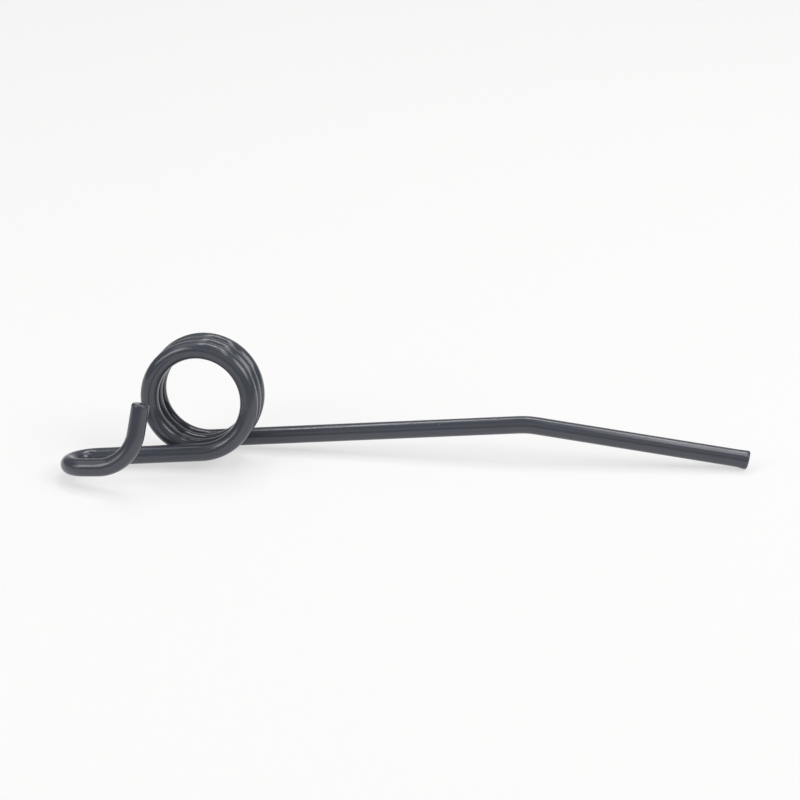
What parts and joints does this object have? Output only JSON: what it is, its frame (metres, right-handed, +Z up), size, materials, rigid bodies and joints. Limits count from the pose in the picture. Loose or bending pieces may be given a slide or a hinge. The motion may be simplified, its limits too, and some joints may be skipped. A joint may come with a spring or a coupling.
{
  "type": "spring tine",
  "caption": "Spring tine bent from round wire: an upturned mounting hook, a close-wound coil and a long working arm with a shallow downward bend and a cropped tip.",
  "frame": {"origin": "on the surface that the tine lies on, under the middle of its outline", "axes": "+X runs from the hook end to the working tip, +Y from the hook's side of the coil to the arm's side, +Z up from the surface it lies on"},
  "size_m": [0.4568, 0.1074, 0.0857],
  "materials": {
    "coated_spring_steel": "glossy dark slate grey dipped coating over round spring steel wire"
  },
  "bodies": {
    "root": {"spring_tine": "coated_spring_steel"}
  },
  "joints": []
}
